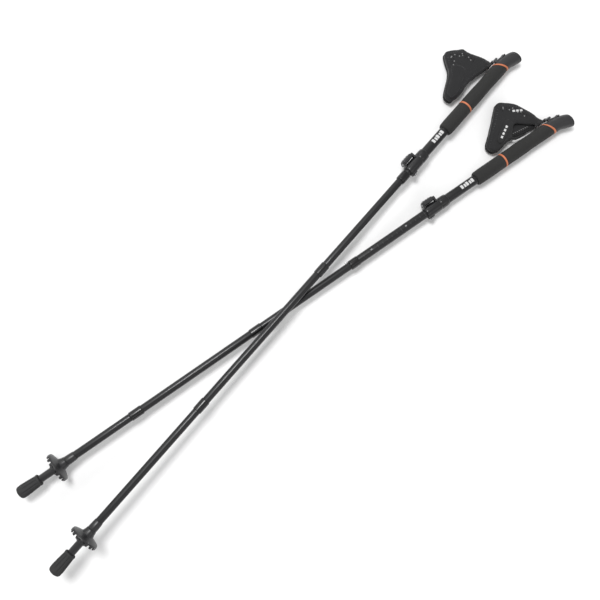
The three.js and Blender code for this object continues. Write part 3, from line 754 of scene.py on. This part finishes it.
    # strap tab: hook-and-loop end with a plain pull
    sc = 118 if d["tab"] > 0 else 106
    tz = d["z"][1] + 0.9 if d["tab"] > 0 else d["z"][0] - 2.6
    a = math.radians(30)
    poly = smooth_poly([(-22, -6.5), (20, -6.5), (23.5, -4), (24.5, 0), (23.5, 4), (20, 6.5), (-22, 6.5)], 2)
    V = []
    for zz in (tz, tz + 1.7):
        for px, py in poly:
            V.append((-sc + px * math.cos(a) - py * math.sin(a), 40 + px * math.sin(a) + py * math.cos(a), zz))
    n = len(poly)
    F = [tuple(range(n)), tuple(range(2 * n - 1, n - 1, -1))] + [(i, (i + 1) % n, n + (i + 1) % n, n + i) for i in range(n)]
    tab = emit(nm("strap_tab"), side, V, F, "hook_tape", 30)
    bvm = tab.modifiers.new("Bevel", "BEVEL")
    bvm.width = 0.0005
    bvm.segments = 3
    bvm.limit_method = "ANGLE"
    add(tab, "tab", "strap_tab")
    if d["tab"] > 0:
        # plain light bars woven into the tab
        for k in range(4):
            V = []
            for zz in (tz + 1.6, tz + 1.85):
                for px, py in ((-13 + k * 7, -1.9), (-8.6 + k * 7, -1.9), (-8.6 + k * 7, 1.9), (-13 + k * 7, 1.9)):
                    V.append((-sc + px * math.cos(a) - py * math.sin(a), 40 + px * math.sin(a) + py * math.cos(a), zz))
            F = [(3, 2, 1, 0), (4, 5, 6, 7)] + [(i, (i + 1) % 4, 4 + (i + 1) % 4, 4 + i) for i in range(4)]
            add(emit(f"{side}_tab_bar_{k}", side, V, F, "print_white", 30, slot="hook_tape"), "tab")


# ------------------------------------------------------------------ camera, lights, floor
BIS = math.radians(41.60751)


def row(u, v, z):
    return Vector((u * math.cos(BIS) + v * math.sin(BIS), -u * math.sin(BIS) + v * math.cos(BIS), z))


fwd = row(0.09841, 0.09841, -0.99027)
right = row(0.995134, -0.004866, 0.09841)
up = row(-0.004866, 0.995134, 0.09841)
cam_pos = fwd * -1.275 + Vector(OFF) / 1000
cam = bpy.data.cameras.new("camera")
cam.lens = 45.0
cam.sensor_width = 36.0
cam_ob = bpy.data.objects.new("camera", cam)
scene.collection.objects.link(cam_ob)
cam_ob.matrix_world = Matrix(((right.x, up.x, -fwd.x, cam_pos.x), (right.y, up.y, -fwd.y, cam_pos.y), (right.z, up.z, -fwd.z, cam_pos.z), (0, 0, 0, 1)))
scene.camera = cam_ob

for side, d in P.items():
    build_pole(side, d)
    build_strap(side, d)

bpy.ops.mesh.primitive_plane_add(size=8, location=(0, 0, 0))
floor = bpy.context.object
floor.name = "floor"
fm = bpy.data.materials.new("floor")
fm.use_nodes = True
fb = fm.node_tree.nodes["Principled BSDF"]
fb.inputs["Base Color"].default_value = (0.93, 0.93, 0.93, 1)
fb.inputs["Roughness"].default_value = 0.9
fb.inputs["Specular IOR Level"].default_value = 0.1
floor.data.materials.append(fm)

world = bpy.data.worlds.new("studio")
scene.world = world
world.use_nodes = True
world.node_tree.nodes["Background"].inputs["Color"].default_value = (1, 1, 1, 1)
world.node_tree.nodes["Background"].inputs["Strength"].default_value = 0.55


def area(name, pos, size, power, target=(0, 0, 0)):
    li = bpy.data.lights.new(name, "AREA")
    li.shape = "DISK"
    li.size = size
    li.energy = power
    ob = bpy.data.objects.new(name, li)
    scene.collection.objects.link(ob)
    ob.location = pos
    ob.rotation_euler = (Vector(target) - Vector(pos)).to_track_quat("-Z", "Y").to_euler()
    return ob


el = math.radians(21)
area("key", (0.0, 3.6 * math.sin(el), 3.6 * math.cos(el)), 1.1, 84)
for k, (yy, zz, pw, wd) in enumerate(((2.2, 1.35, 14, 0.7), (-1.9, 1.7, 7, 0.6))):
    li = bpy.data.lights.new(f"strip_{k}", "AREA")
    li.shape = "RECTANGLE"
    li.size = 3.2
    li.size_y = wd
    li.energy = pw
    so = bpy.data.objects.new(f"strip_{k}", li)
    scene.collection.objects.link(so)
    d_ = (Vector((0, 0, 0)) - Vector((0, yy, zz))).normalized()
    x_ = Vector((1, 0, 0))
    y_ = (-d_).cross(x_)
    so.matrix_world = Matrix(((x_.x, y_.x, -d_.x, 0), (x_.y, y_.y, -d_.y, yy), (x_.z, y_.z, -d_.z, zz), (0, 0, 0, 1)))
scene.view_settings.view_transform = "Standard"
